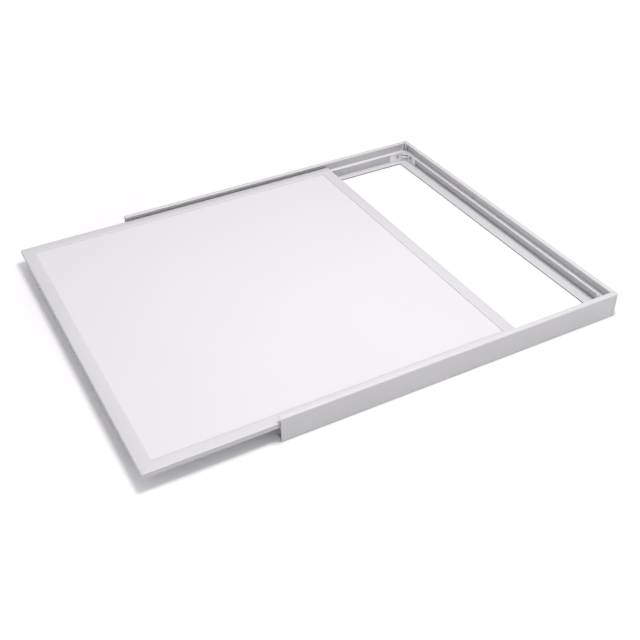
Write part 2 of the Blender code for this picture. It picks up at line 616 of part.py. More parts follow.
def build_panel():
    slide = bpy.data.objects.new("panel_slide", None)
    bpy.context.scene.collection.objects.link(slide)
    slide.location = (PANEL_X, 0.0, PANEL_Z)
    bezel_mat = material("bezel_aluminium", (0.80, 0.80, 0.81), 0.42, 0.1)
    steel = material("screw_steel", (0.55, 0.55, 0.57), 0.32, 1.0)
    key_mat = material("key_steel", (0.60, 0.60, 0.61), 0.45, 1.0)
    holes = (-COVER_SCREW_SPREAD, COVER_SCREW_SPREAD)
    for label, turn in (("front", 0), ("leading", 90), ("back", 180), ("trailing", 270)):
        bezel(f"bezel_{label}", bezel_mat, turn, holes, slide)
    for number, turn in enumerate((0, 90, 180, 270), 1):
        corner_key(f"corner_key_{number}", key_mat, turn, slide)
    sheet("diffuser", material("opal_acrylic", (0.92, 0.92, 0.94), 0.35), DIFFUSER, slide)
    sheet("light_guide_plate", material("clear_acrylic", (0.90, 0.93, 0.94), 0.06,
                                        transmission=0.8), LIGHT_GUIDE, slide)
    sheet("reflector_sheet", material("white_film", (0.95, 0.95, 0.95), 0.6), REFLECTOR, slide)
    sheet("foam_sheet", material("white_foam", (0.88, 0.88, 0.87), 0.95), FOAM, slide)
    strip_mat = material("strip_board", (0.85, 0.85, 0.82), 0.5)
    for side, label in ((-1, "front"), (1, "back")):
        led_strip(f"led_strip_{label}", strip_mat, side, slide)
    cover_mat = material("painted_steel", (0.82, 0.82, 0.83), 0.5)
    back_cover(cover_mat, cover_screw_spots() + driver_screw_spots(), slide)
    cover_low = BACK_COVER[2] - GAP
    small = screw_mesh("small_screw", steel, SMALL_SCREW_SHANK, 1.9 * MM, SMALL_SCREW_HEAD,
                       SMALL_SCREW_HEAD_HEIGHT)
    screws("cover_screw", small, [(x, y, cover_low) for x, y in cover_screw_spots()],
           (0, 0, -1), slide)
    ear_low = CASE_TOP - EAR_THICKNESS - GAP
    screws("driver_screw", small, [(x, y, ear_low) for x, y in driver_screw_spots()],
           (0, 0, -1), slide)
    bpy.data.objects.remove(small, do_unlink=True)
    build_driver(slide)


def build_driver(slide):
    case_mat = material("driver_case_plastic", (0.88, 0.88, 0.87), 0.45)
    insides = {"board": material("circuit_board", (0.10, 0.32, 0.16), 0.5),
               "ferrite": material("transformer_tape", (0.75, 0.62, 0.12), 0.5),
               "sleeve": material("capacitor_sleeve", (0.05, 0.06, 0.10), 0.35),
               "terminal": material("terminal_plastic", (0.12, 0.36, 0.20), 0.45)}
    driver_case(case_mat, slide)
    driver_lid(case_mat, slide)
    driver_insides(insides, slide)
    dark = material("black_rubber", (0.04, 0.04, 0.045), 0.6)
    dc_lead(dark, slide)
    bored_housing("lead_entry", dark, ENTRY, ENTRY_Y, 1.2 * MM, ENTRY_Y + 8 * MM, slide)
    nylon = material("white_nylon", (0.85, 0.85, 0.82), 0.5)
    bored_housing("lead_clip", nylon, CLIP, CLIP_Y, 1.5 * MM, CLIP_Y, slide)


clear_scene()
build_frame()
build_panel()
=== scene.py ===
import json
import math

import bmesh
import bpy
from mathutils import Matrix, Vector


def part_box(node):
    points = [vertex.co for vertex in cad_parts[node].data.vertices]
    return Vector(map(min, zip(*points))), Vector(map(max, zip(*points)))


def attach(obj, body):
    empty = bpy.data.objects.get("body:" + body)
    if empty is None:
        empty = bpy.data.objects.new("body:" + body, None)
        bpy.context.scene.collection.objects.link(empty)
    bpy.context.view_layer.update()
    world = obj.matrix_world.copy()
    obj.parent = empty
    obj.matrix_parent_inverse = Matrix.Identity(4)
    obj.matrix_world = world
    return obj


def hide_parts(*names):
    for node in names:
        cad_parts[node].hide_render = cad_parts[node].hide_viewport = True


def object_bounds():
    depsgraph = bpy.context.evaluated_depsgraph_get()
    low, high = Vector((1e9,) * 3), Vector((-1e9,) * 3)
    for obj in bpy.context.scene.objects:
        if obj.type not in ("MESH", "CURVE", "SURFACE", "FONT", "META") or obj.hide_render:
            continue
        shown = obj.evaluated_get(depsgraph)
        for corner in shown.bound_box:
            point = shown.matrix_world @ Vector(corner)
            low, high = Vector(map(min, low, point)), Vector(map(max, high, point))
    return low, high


# Looks of the LED panel light, slid part of the way into its surface-mount frame.
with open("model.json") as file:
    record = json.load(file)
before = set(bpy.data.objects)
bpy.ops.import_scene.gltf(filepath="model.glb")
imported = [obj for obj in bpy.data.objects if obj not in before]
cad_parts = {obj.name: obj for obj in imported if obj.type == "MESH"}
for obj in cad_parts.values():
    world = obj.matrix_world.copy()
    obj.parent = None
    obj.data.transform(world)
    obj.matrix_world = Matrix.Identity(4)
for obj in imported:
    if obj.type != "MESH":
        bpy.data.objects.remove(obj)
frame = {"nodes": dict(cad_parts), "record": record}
CAD_LOW, CAD_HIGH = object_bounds()

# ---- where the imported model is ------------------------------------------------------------
MM = 0.001
GAP = 0.3 * MM
NODES = frame["nodes"]
FRONT_LOW, FRONT_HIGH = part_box("rail_front")
BACK_LOW, BACK_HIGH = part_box("rail_back")
END_LOW, END_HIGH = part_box("rail_end")
COVER_LOW, COVER_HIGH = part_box("back_cover")
PANEL_LOW = Vector(min(a) for a in zip(*(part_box(n)[0] for n in NODES if n.startswith("bezel"))))
PANEL_HIGH = Vector(max(a) for a in zip(*(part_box(n)[1] for n in NODES if n.startswith("bezel"))))
CENTER = (PANEL_LOW + PANEL_HIGH) / 2
HALF = (PANEL_HIGH.x - PANEL_LOW.x) / 2
PANEL_Z = PANEL_LOW.z
END_X = FRONT_HIGH.x
SIDE_Y = BACK_HIGH.y
HEIGHT = FRONT_HIGH.z

# ---- rail section -------------------------------------------------------------------------
WEB = 1.5 * MM
LIP_REACH = 9 * MM
LIP_THICKNESS = 1.6 * MM
LEDGE_TOP = 22.5 * MM
LEDGE_REACH = 8.3 * MM
LEDGE_THICKNESS = 1.5 * MM
SIDE_FLANGE = SIDE_Y - BACK_LOW.y
END_FLANGE = END_X - END_LOW.x
FLANGE_THICKNESS = 2 * MM
RIB_OFFSET = 4.7 * MM
RIB_WIDTH = 1.2 * MM
RIB_TOP = 4.2 * MM
CORNER_RADIUS = 4 * MM
POST_REACH = 8 * MM                  # outer corner to the seam with each rail
HOLE_SPOTS = (250 * MM, 530 * MM)
HOLE_OFFSET = 10.6 * MM
HOLE_RADIUS = 2.3 * MM

# ---- camera -------------------------------------------------------------------------------
SENSOR = 36.0                        # millimetres
LENS = 53.510625                     # millimetres
LENS_SHIFT = 0.025                   # as a share of the sensor's width
CAMERA_FROM_CORNER = Vector((-0.9732, -0.8361, 0.9026))      # from the front outer corner
YAW, PITCH, ROLL = 0.4718, 0.6476, -0.0231                   # radians


def link(thing):
    bpy.context.scene.collection.objects.link(thing)
    return thing


def make_camera():
    data = bpy.data.cameras.new("camera")
    data.sensor_width = SENSOR
    data.lens = LENS
    data.shift_x = LENS_SHIFT
    data.clip_start, data.clip_end = 0.01, 100.0
    forward = Vector((math.sin(YAW) * math.cos(PITCH), math.cos(YAW) * math.cos(PITCH),
                      -math.sin(PITCH)))
    level = Vector((math.cos(YAW), -math.sin(YAW), 0.0))
    upright = level.cross(forward)
    right = level * math.cos(ROLL) + upright * math.sin(ROLL)
    up = upright * math.cos(ROLL) - level * math.sin(ROLL)
    turn = Matrix((right, up, -forward)).transposed().to_4x4()
    camera = link(bpy.data.objects.new("camera", data))
    spot = Vector((END_X, -SIDE_Y, 0.0)) + CAMERA_FROM_CORNER
    camera.matrix_world = Matrix.Translation(spot) @ turn
    bpy.context.scene.camera = camera


make_camera()


# ---- materials ----------------------------------------------------------------------------
class Paint:
    """A node material being built: a Principled shader with procedural colour, gloss and bump."""

    def __init__(self, name, roughness=0.4, metallic=0.0):
        self.mat = bpy.data.materials.new(name)
        self.mat.use_nodes = True
        self.nodes, self.links = self.mat.node_tree.nodes, self.mat.node_tree.links
        self.shader = self.nodes["Principled BSDF"]
        self.shader.inputs["Roughness"].default_value = roughness
        self.shader.inputs["Metallic"].default_value = metallic
        self.place = self.nodes.new("ShaderNodeTexCoord").outputs["Object"]
        self.height = None

    def set(self, **values):
        for name, value in values.items():
            self.shader.inputs[name.replace("_", " ")].default_value = value
        return self

    def stretched(self, scale):
        """Object coordinates in metres, stretched by a factor on each axis."""
        mapping = self.nodes.new("ShaderNodeMapping")
        mapping.inputs["Scale"].default_value = scale
        self.links.new(self.place, mapping.inputs["Vector"])
        return mapping.outputs["Vector"]

    def noise(self, scale, detail=3.0, stretch=(1, 1, 1)):
        node = self.nodes.new("ShaderNodeTexNoise")
        node.inputs["Scale"].default_value = scale
        node.inputs["Detail"].default_value = detail
        self.links.new(self.stretched(stretch), node.inputs["Vector"])
        return node.outputs["Fac"]

    def cells(self, scale, feature="F1", stretch=(1, 1, 1), randomness=1.0):
        node = self.nodes.new("ShaderNodeTexVoronoi")
        node.feature = feature
        node.inputs["Scale"].default_value = scale
        node.inputs["Randomness"].default_value = randomness
        self.links.new(self.stretched(stretch), node.inputs["Vector"])
        return node.outputs["Distance"]

    def ramp(self, value, low, high, at=(0.3, 0.7)):
        """Colour between two, as a value goes between two levels."""
        node = self.nodes.new("ShaderNodeValToRGB")
        for element, level, color in zip(node.color_ramp.elements, at, (low, high)):
            element.position = level
            element.color = (*color, 1.0)
        self.links.new(value, node.inputs["Fac"])
        return node.outputs["Color"]

    def span(self, value, low, high, at=(0.3, 0.7)):
        """Number between two, as a value goes between two levels."""
        node = self.nodes.new("ShaderNodeMapRange")
        node.inputs["From Min"].default_value, node.inputs["From Max"].default_value = at
        node.inputs["To Min"].default_value, node.inputs["To Max"].default_value = low, high
        self.links.new(value, node.inputs["Value"])
        return node.outputs["Result"]

    def mixed(self, factor, a, b):
        """Two colours mixed; each is a colour or a socket."""
        node = self.nodes.new("ShaderNodeMix")
        node.data_type = "RGBA"
        self.feed(factor, node.inputs["Factor"])
        for socket, value in ((node.inputs[6], a), (node.inputs[7], b)):
            self.feed((*value, 1.0) if isinstance(value, tuple) else value, socket)
        return node.outputs[2]

    def feed(self, value, socket):
        if isinstance(value, bpy.types.NodeSocket):
            self.links.new(value, socket)
        else:
            socket.default_value = value

    def color(self, value):
        self.links.new(value, self.shader.inputs["Base Color"])
        return self

    def gloss(self, value):
        self.links.new(value, self.shader.inputs["Roughness"])
        return self

    def bump(self, value, height, strength=1.0):
        """Adds relief of a height in metres on top of what is there."""
        node = self.nodes.new("ShaderNodeBump")
        node.inputs["Strength"].default_value = strength
        node.inputs["Distance"].default_value = height
        self.links.new(value, node.inputs["Height"])
        if self.height is not None:
            self.links.new(self.height, node.inputs["Normal"])
        self.height = node.outputs["Normal"]
        self.links.new(self.height, self.shader.inputs["Normal"])
        return self


def tint(color, factor):
    return tuple(c * factor for c in color)


COAT_COLOR = (0.690, 0.689, 0.691)
BEZEL_COLOR = (0.675, 0.674, 0.677)
OPAL_COLOR = (0.760, 0.757, 0.764)


def coated(name, color, along, roughness=0.42):
    """Powder-coated extrusion: fine orange peel, and faint die lines along the bar."""
    lines = [1.0 if axis == along else 60.0 for axis in "XYZ"]
    paint = Paint(name).set(Specular_IOR_Level=0.45)
    paint.color(paint.ramp(paint.noise(7, 2), tint(color, 0.985), tint(color, 1.015)))
    paint.gloss(paint.span(paint.noise(420, 3), roughness - 0.05, roughness + 0.05))
    paint.bump(paint.noise(45, 2, lines), 0.010 * MM, 0.5)
    paint.bump(paint.noise(1300, 2), 0.012 * MM, 0.6)
    return paint.mat


def opal():
    """Matt opal acrylic: nearly even, with a faint cloudiness and a very fine matt grain."""
    paint = Paint("opal_diffuser").set(Specular_IOR_Level=0.4)
    cloud = paint.noise(5, 2)
    paint.color(paint.ramp(cloud, tint(OPAL_COLOR, 0.992), tint(OPAL_COLOR, 1.008)))
    paint.gloss(paint.span(paint.noise(900, 2), 0.50, 0.58))
    paint.bump(paint.cells(1700), 0.004 * MM, 0.5)
    return paint.mat


def cast():
    paint = Paint("coated_casting", metallic=0.1).set(Specular_IOR_Level=0.5)
    color = (0.87, 0.868, 0.874)
    paint.color(paint.ramp(paint.noise(160, 4), tint(color, 0.96), tint(color, 1.03)))
    paint.gloss(paint.span(paint.noise(600, 3), 0.32, 0.46))
    paint.bump(paint.noise(900, 3), 0.02 * MM, 0.6)
    return paint.mat


def plated(name, color, roughness):
    paint = Paint(name, metallic=1.0)
    paint.color(paint.ramp(paint.noise(800, 4), tint(color, 0.88), tint(color, 1.08)))
    paint.gloss(paint.span(paint.noise(1500, 3), roughness - 0.07, roughness + 0.10))
    paint.bump(paint.noise(2600, 2), 0.006 * MM, 0.5)
    return paint.mat


def sheet_paint(name, color, roughness):
    """Coil-coated sheet steel: slight orange peel and rolling lines."""
    paint = Paint(name).set(Specular_IOR_Level=0.45)
    paint.color(paint.ramp(paint.noise(9, 3), tint(color, 0.975), tint(color, 1.02)))
    paint.gloss(paint.span(paint.noise(350, 3), roughness - 0.06, roughness + 0.06))
    paint.bump(paint.noise(60, 2, (1, 30, 1)), 0.012 * MM, 0.5)
    paint.bump(paint.noise(1100, 2), 0.014 * MM, 0.6)
    return paint.mat


def moulded(name, color, roughness, grain=0.02):
    """Moulded plastic or rubber with a spark-eroded grain."""
    paint = Paint(name).set(Specular_IOR_Level=0.42)
    paint.color(paint.ramp(paint.noise(40, 3), tint(color, 0.95), tint(color, 1.04)))
    paint.gloss(paint.span(paint.noise(700, 3), roughness - 0.06, roughness + 0.06))
    paint.bump(paint.cells(2200), grain * MM, 0.7)
    return paint.mat


def clear_guide():
    """Clear acrylic with the printed dots that let the light out."""
    paint = Paint("light_guide", roughness=0.06).set(Transmission_Weight=0.85, IOR=1.49)
    dots = paint.cells(420, randomness=0.0)
    paint.color(paint.ramp(dots, (0.96, 0.97, 0.97), (0.86, 0.90, 0.91), (0.24, 0.30)))
    paint.gloss(paint.span(dots, 0.55, 0.05, (0.24, 0.30)))
    return paint.mat


def soft_sheet(name, color, scale):
    paint = Paint(name, roughness=0.85)
    paint.color(paint.ramp(paint.cells(scale), tint(color, 0.93), color))
    paint.bump(paint.cells(scale), 0.05 * MM, 0.6)
    return paint.mat


def strip_board():
    """White solder mask, mottled with a pale phosphor yellow."""
    paint = Paint("led_strip_board", roughness=0.45)
    paint.color(paint.ramp(paint.noise(500, 2), (0.80, 0.78, 0.66), (0.87, 0.86, 0.82)))
    paint.bump(paint.noise(900, 2), 0.02 * MM, 0.5)
    return paint.mat


def circuit_board():
    paint = Paint("circuit_board", roughness=0.4)
    tracks = paint.cells(260, "DISTANCE_TO_EDGE", (1, 2.2, 1))
    green = paint.ramp(tracks, (0.05, 0.20, 0.10), (0.09, 0.30, 0.15), (0.04, 0.09))
    paint.color(paint.mixed(paint.span(paint.cells(180), 1.0, 0.0, (0.10, 0.14)), green,
                            (0.55, 0.50, 0.38)))
    paint.bump(tracks, 0.03 * MM, 0.5)
    return paint.mat


def wound_tape():
    paint = Paint("transformer_tape", roughness=0.38)
    layers = paint.noise(30, 3, (1, 1, 14))
    paint.color(paint.ramp(layers, (0.55, 0.42, 0.06), (0.78, 0.64, 0.15)))
    paint.bump(paint.noise(24, 2, (1, 1, 30)), 0.06 * MM, 0.6)
    return paint.mat


def sleeve():
    paint = Paint("capacitor_sleeve", roughness=0.3)
    creases = paint.noise(90, 3, (0.2, 1, 1))
    paint.color(paint.ramp(creases, (0.015, 0.018, 0.03), (0.05, 0.055, 0.08)))
    paint.bump(paint.noise(300, 2), 0.03 * MM, 0.5)
    return paint.mat


COAT_X = coated("coated_rail_along_x", COAT_COLOR, "X")
COAT_Y = coated("coated_rail_along_y", COAT_COLOR, "Y")
# Outer faces of the rails, painted darker than the coat as painted shade.
SHADED_SIDE_X = coated("coated_side_painted_shade_along_x", tint(COAT_COLOR, 0.80), "X")
SHADED_SIDE_Y = coated("coated_side_painted_shade_along_y", tint(COAT_COLOR, 0.80), "Y")
# Channel walls of the rails, painted darker as painted shade.
SHADED_CHANNEL_X = coated("channel_painted_shade_along_x", tint(COAT_COLOR, 0.93), "X", 0.5)
SHADED_CHANNEL_Y = coated("channel_painted_shade_along_y", tint(COAT_COLOR, 0.86), "Y", 0.5)
# Ledge tops of the rails, painted lighter than the coat as a painted highlight.
LIT_LEDGE_X = coated("ledge_painted_highlight_along_x", tint(COAT_COLOR, 1.22), "X", 0.36)
LIT_LEDGE_Y = coated("ledge_painted_highlight_along_y", tint(COAT_COLOR, 1.30), "Y", 0.36)
# Near-black metal along each flange's inner edge: a painted shadow line.
FLANGE_SHADOW_EDGE = plated("flange_edge_painted_shadow", (0.16, 0.16, 0.165), 0.55)
BEZEL_X = coated("satin_bezel_along_x", BEZEL_COLOR, "X", 0.46)
BEZEL_Y = coated("satin_bezel_along_y", BEZEL_COLOR, "Y", 0.46)
# Outer sides of the bezel, painted darker than the bezel as painted shade.
BEZEL_SHADED_SIDE_X = coated("bezel_side_painted_shade_along_x", tint(BEZEL_COLOR, 0.78), "X", 0.46)
BEZEL_SHADED_SIDE_Y = coated("bezel_side_painted_shade_along_y", tint(BEZEL_COLOR, 0.78), "Y", 0.46)
OPAL = opal()
CAST = cast()
# Near-black casting in the bracket's slots: painted shade.
SLOT_SHADE_CAST = moulded("slot_painted_shade", (0.14, 0.14, 0.145), 0.6)
# Outer faces of the corner post, painted darker than the coat as painted shade.
SHADED_POST_CAST = coated("post_painted_shade", tint(COAT_COLOR, 0.78), "Z")
SCREW = plated("zinc_plate", (0.66, 0.66, 0.68), 0.30)
SMALL_SCREW = plated("nickel_plate", (0.60, 0.59, 0.58), 0.26)
KEY = plated("key_steel", (0.56, 0.56, 0.57), 0.42)
COVER = sheet_paint("coated_cover_sheet", (0.70, 0.70, 0.71), 0.46)
CASE = moulded("driver_plastic", (0.74, 0.74, 0.72), 0.42)
RUBBER = moulded("black_rubber", (0.022, 0.022, 0.024), 0.55)
NYLON = moulded("white_nylon", (0.74, 0.73, 0.70), 0.45)
TERMINAL = moulded("terminal_plastic", (0.06, 0.26, 0.12), 0.4)
BARE_NODES = {
    "light_guide_plate": clear_guide(),
    "reflector_sheet": soft_sheet("white_film", (0.9, 0.9, 0.9), 1500),
    "foam_sheet": soft_sheet("white_foam", (0.80, 0.80, 0.78), 700),
    "driver_board": circuit_board(),
    "led_strip_front": strip_board(),
    "driver_transformer": wound_tape(),
    "driver_capacitor_1": sleeve(),
    "mains_terminal": TERMINAL,
    "corner_key_1": KEY,
}
SAME_AS = {"led_strip_back": "led_strip_front", "driver_capacitor_2": "driver_capacitor_1",
           "corner_key_2": "corner_key_1", "corner_key_3": "corner_key_1",
           "corner_key_4": "corner_key_1"}


def dress_nodes():
    """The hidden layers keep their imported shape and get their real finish."""
    for node in list(BARE_NODES) + list(SAME_AS):
        for slot in NODES[node].material_slots:
            slot.material = BARE_NODES[SAME_AS.get(node, node)]


# ---- mesh helpers -------------------------------------------------------------------------
BEVEL_ANGLE = 40                     # degrees between faces from which an edge is bevelled
SHARP_ANGLE = 35                     # degrees between faces from which an edge shades sharp


def arc(center, radius, start, end, steps):
    angles = [math.radians(start + (end - start) * i / steps) for i in range(steps + 1)]
    return [(center[0] + radius * math.cos(a), center[1] + radius * math.sin(a)) for a in angles]


def filleted(corners, steps=3):
    """Outline from (a, b, radius) corners, each rounded to its radius."""
    outline = []
    for before, (a, b, radius), after in zip(corners[-1:] + corners[:-1], corners,
                                             corners[1:] + corners[:1]):
        point = Vector((a, b))
        if not radius:
            outline.append((a, b))
            continue
        u = (Vector(before[:2]) - point).normalized()
        v = (Vector(after[:2]) - point).normalized()
        half = u.angle(v) / 2
        middle = point + (u + v).normalized() * (radius / math.sin(half))
        first = point + u * (radius / math.tan(half)) - middle
        last = point + v * (radius / math.tan(half)) - middle
        for step in range(steps + 1):
            outline.append(tuple(middle + first.slerp(last, step / steps).normalized() * radius))
    return outline


def rounded(low, high, radius, steps=6):
    """Outline of a rectangle with rounded corners."""
    return filleted([(low[0], low[1], radius), (high[0], low[1], radius),
                     (high[0], high[1], radius), (low[0], high[1], radius)], steps)


def inset(outline, distance):
    """The outline moved inward by a small distance, vertex by vertex."""
    area = sum(a[0] * b[1] - b[0] * a[1] for a, b in zip(outline, outline[1:] + outline[:1]))
    sign = 1.0 if area > 0 else -1.0
    moved = []
    for before, here, after in zip(outline[-1:] + outline[:-1], outline,
                                   outline[1:] + outline[:1]):
        normals = []
        for p, q in ((before, here), (here, after)):
            edge = Vector(q) - Vector(p)
            if edge.length > 1e-9:
                normals.append(Vector((-edge.y, edge.x)).normalized() * sign)
        normal = sum(normals, Vector((0.0, 0.0))).normalized()
        moved.append(tuple(Vector(here) + normal * distance))
    return moved


SPREAD = {"X": lambda a, b, t: (t, a, b), "Y": lambda a, b, t: (a, t, b),
          "Z": lambda a, b, t: (a, b, t)}


def lofted(sections, axis):
    """Closed solid through outlines of one length at places along an axis."""
    bm = bmesh.new()
    rings = [[bm.verts.new(SPREAD[axis](a, b, place)) for a, b in outline]
             for outline, place in sections]
    for near, far in zip(rings, rings[1:]):
        for i in range(len(near)):
            j = (i + 1) % len(near)
            bm.faces.new((near[i], near[j], far[j], far[i]))
    bm.faces.new(rings[0])
    bm.faces.new(rings[-1])
    bmesh.ops.recalc_face_normals(bm, faces=bm.faces)
    return bm


def extruded(outline, axis, start, end, edge=0.0):
    """Outline extruded along an axis, with a small chamfer round each end."""
    if not edge:
        return lofted([(outline, start), (outline, end)], axis)
    small = inset(outline, edge)
    return lofted([(small, start), (outline, start + edge), (outline, end - edge), (small, end)],
                  axis)


def block(low, high):
    bm = bmesh.new()
    bmesh.ops.create_cube(bm, size=1.0)
    for vert in bm.verts:
        vert.co = Vector([a + (c + 0.5) * (b - a) for a, b, c in zip(low, high, vert.co)])
    return bm


def rod(center, axis, radius, length, steps=32):
    bm = bmesh.new()
    bmesh.ops.create_cone(bm, cap_ends=True, segments=steps, radius1=radius, radius2=radius,
                          depth=length)
    turn = Vector((0, 0, 1)).rotation_difference(Vector(axis)).to_matrix()
    bmesh.ops.rotate(bm, verts=bm.verts, cent=(0, 0, 0), matrix=turn)
    bmesh.ops.translate(bm, vec=Vector(center), verts=bm.verts)
    return bm


def turned(profile, steps):
    bm = bmesh.new()
    chain = [bm.verts.new((radius, 0.0, height)) for radius, height in profile]
    edges = [bm.edges.new(pair) for pair in zip(chain, chain[1:])]
    bmesh.ops.spin(bm, geom=chain + edges, cent=(0, 0, 0), axis=(0, 0, 1),
                   angle=2 * math.pi, steps=steps, use_merge=True)
    bmesh.ops.remove_doubles(bm, verts=bm.verts, dist=1e-7)
    bmesh.ops.recalc_face_normals(bm, faces=bm.faces)
    return bm


def mesh_of(bm, name):
    mesh = bpy.data.meshes.new(name)
    bm.to_mesh(mesh)
    bm.free()
    return mesh


def solid(name, bm, mat):
    thing = link(bpy.data.objects.new(name, mesh_of(bm, name)))
    thing.data.materials.append(mat)
    return thing


def carve(thing, bm, operation="DIFFERENCE"):
    """Boolean with another solid, applied at once."""
    tool = link(bpy.data.objects.new("tool", mesh_of(bm, "tool")))
    boolean = thing.modifiers.new("cut", "BOOLEAN")
    boolean.operation, boolean.solver, boolean.object = operation, "EXACT", tool
    applied(thing)
    bpy.data.objects.remove(tool, do_unlink=True)


def applied(thing):
    """Replaces the object's mesh with what its modifiers give."""
    graph = bpy.context.evaluated_depsgraph_get()
    mesh = bpy.data.meshes.new_from_object(thing.evaluated_get(graph))
    thing.modifiers.clear()
    thing.data = mesh


def softened(thing, width, segments=2):
    """Bevels the object's edges."""
    bevel = thing.modifiers.new("edges", "BEVEL")
    bevel.width, bevel.segments = width, segments
    bevel.limit_method, bevel.angle_limit = "ANGLE", math.radians(BEVEL_ANGLE)
    applied(thing)


def finish(thing, body, slot, *nodes):
    """Shades the piece, parents it to its body's empty and hides the CAD nodes it stands in for."""
    thing.data.shade_smooth()
    thing.data.set_sharp_from_angle(angle=math.radians(SHARP_ANGLE))
    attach(thing, body)
    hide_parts(*nodes)
    return thing


# ---- rails --------------------------------------------------------------------------------
CUT_EDGE = 0.12 * MM                 # chamfer round the cut end of a rail
FACING = 0.9                         # cosine from which a face counts as looking one way
LYING = 0.7                          # cosine from which a face counts as looking up
DRILL_LENGTH = 8 * MM


def rail_outline(flange):
    """Rail section as (distance in from the outer face, height), with drawn corner radii."""
    lip_bottom = HEIGHT - LIP_THICKNESS
    ledge_bottom = LEDGE_TOP - LEDGE_THICKNESS
    rib_end = RIB_OFFSET + RIB_WIDTH
    corners = [(flange, 0.0, 0.25), (0.0, 0.0, 0.8), (0.0, HEIGHT, 2.4),
               (LIP_REACH, HEIGHT, 0.35), (LIP_REACH, lip_bottom, 0.35),
               (WEB, lip_bottom, 0.6), (WEB, LEDGE_TOP, 0.5), (LEDGE_REACH, LEDGE_TOP, 0.35),
               (LEDGE_REACH, ledge_bottom, 0.35), (WEB, ledge_bottom, 0.6),
               (WEB, FLANGE_THICKNESS, 0.5), (RIB_OFFSET, FLANGE_THICKNESS, 0.3),
               (RIB_OFFSET, RIB_TOP, 0.3), (rib_end, RIB_TOP, 0.3),
               (rib_end, FLANGE_THICKNESS, 0.3), (flange, FLANGE_THICKNESS, 0.35)]
    return filleted([(a, b, r * MM) for a, b, r in corners])


def tone_faces(rail, inward, face, side, shaded_channel, lit_ledge):
    """Paints light and shade by face: painted shade on the outer face and the channel walls, a
    painted shadow line on the flange's inner edge, a painted highlight on the ledge top.
    """
    # The side material given here is the outer face's painted shade.
    for mat in (side, shaded_channel, FLANGE_SHADOW_EDGE, lit_ledge):
        rail.data.materials.append(mat)
    for polygon in rail.data.polygons:
        toward = polygon.normal.dot(inward)
        depth = (polygon.center - face).dot(inward)
        if toward < -FACING and depth < WEB:
            polygon.material_index = 1
        elif toward > FACING and depth < 2 * WEB:
            polygon.material_index = 2
        elif toward > FACING and polygon.center.z < FLANGE_THICKNESS and depth > SIDE_FLANGE - MM:
            polygon.material_index = 3
        elif polygon.normal.z > LYING and abs(polygon.center.z - LEDGE_TOP) < 0.5 * MM:
            polygon.material_index = 4


def side_rail(name, side, low, high):
    """Rail along X: the front one runs over its corner, the back one butts on the end rail."""
    through = side < 0
    outline = [(side * (SIDE_Y - u), z) for u, z in rail_outline(SIDE_FLANGE)]
    rail = solid("coated_" + name, extruded(outline, "X", low.x, high.x, CUT_EDGE), COAT_X)
    if through:
        near, reach, ceiling = -MM, POST_REACH + GAP, HEIGHT - LIP_THICKNESS - GAP
    else:
        near, reach, ceiling = WEB, END_FLANGE + GAP, FLANGE_THICKNESS + RIB_TOP
    edges = sorted(side * (SIDE_Y - u) for u in (near, SIDE_FLANGE + MM))
    carve(rail, block((END_X - reach, edges[0], -MM), (END_X + MM, edges[1], ceiling)))
    if through:
        carve(rail, corner_wedge(side))
    for spot in HOLE_SPOTS:
        center = (END_X - spot, side * (SIDE_Y - HOLE_OFFSET), 0.0)
        carve(rail, rod(center, (0, 0, 1), HOLE_RADIUS, DRILL_LENGTH))
    tone_faces(rail, Vector((0, -side, 0)), Vector((0, side * SIDE_Y, 0)), SHADED_SIDE_X, SHADED_CHANNEL_X,
               LIT_LEDGE_X)
    return finish(rail, "frame", "frame_coat", name)


def end_rail():
    """Rail along Y: butts on the front rail's lip and runs over the back corner."""
    outline = [(END_X - u, z) for u, z in rail_outline(END_FLANGE)]
    rail = solid("coated_rail_end", extruded(outline, "Y", END_LOW.y, END_HIGH.y, CUT_EDGE),
                 COAT_Y)
    inner = END_LOW.x - MM
    carve(rail, block((inner, END_LOW.y - MM, -MM),
                      (END_X - WEB, -SIDE_Y + SIDE_FLANGE + GAP, FLANGE_THICKNESS + RIB_TOP)))
    carve(rail, block((inner, SIDE_Y - POST_REACH - GAP, -MM),
                      (END_X + MM, SIDE_Y + MM, HEIGHT - LIP_THICKNESS - GAP)))
    carve(rail, corner_wedge(1))
    tone_faces(rail, Vector((-1, 0, 0)), Vector((END_X, 0, 0)), SHADED_SIDE_Y, SHADED_CHANNEL_Y, LIT_LEDGE_Y)
    return finish(rail, "frame", "frame_coat", "rail_end")


# ---- corner brackets ----------------------------------------------------------------------
ARM_LENGTH = 40 * MM
ARM_THICKNESS = 2.6 * MM
ARM_BOTTOM = FLANGE_THICKNESS + GAP
ARM_TOP = LEDGE_TOP - LEDGE_THICKNESS - GAP
CHAMFER = 8.5 * MM
SLOT_HEIGHT = 2.0 * MM
SLOT_DEPTH = 1.9 * MM
SLOT_REACH = 14 * MM
SLOT_LEVELS = (5.9 * MM, 12.0 * MM)
SCREW_SPOT = 22.5 * MM
RECESS_LENGTH = 11.5 * MM
RECESS_HEIGHT = 7.6 * MM
RECESS_DEPTH = 0.7 * MM
ARM_HOLE_RADIUS = 2.3 * MM
ARM_INNER = WEB + GAP + ARM_THICKNESS
ARM_LEVEL = (ARM_BOTTOM + ARM_TOP) / 2
BRACKET_EDGE = 0.25 * MM
SLOT_PLAY = 0.05 * MM                # a face may pass a slot's levels by this and still be in it
SHADE_DEPTH = 0.35 * MM                # how far into a slot the painted shade starts
OUTER_DEPTH = 1.3 * MM               # the post's outer faces lie nearer the outside than this
WEDGE_DEPTH = 4 * MM


def corner_point(side, along, inward):
    return (END_X - along, side * (SIDE_Y - inward))


def prism(side, points, low, high):
    return extruded([corner_point(side, *p) for p in points], "Z", low, high)


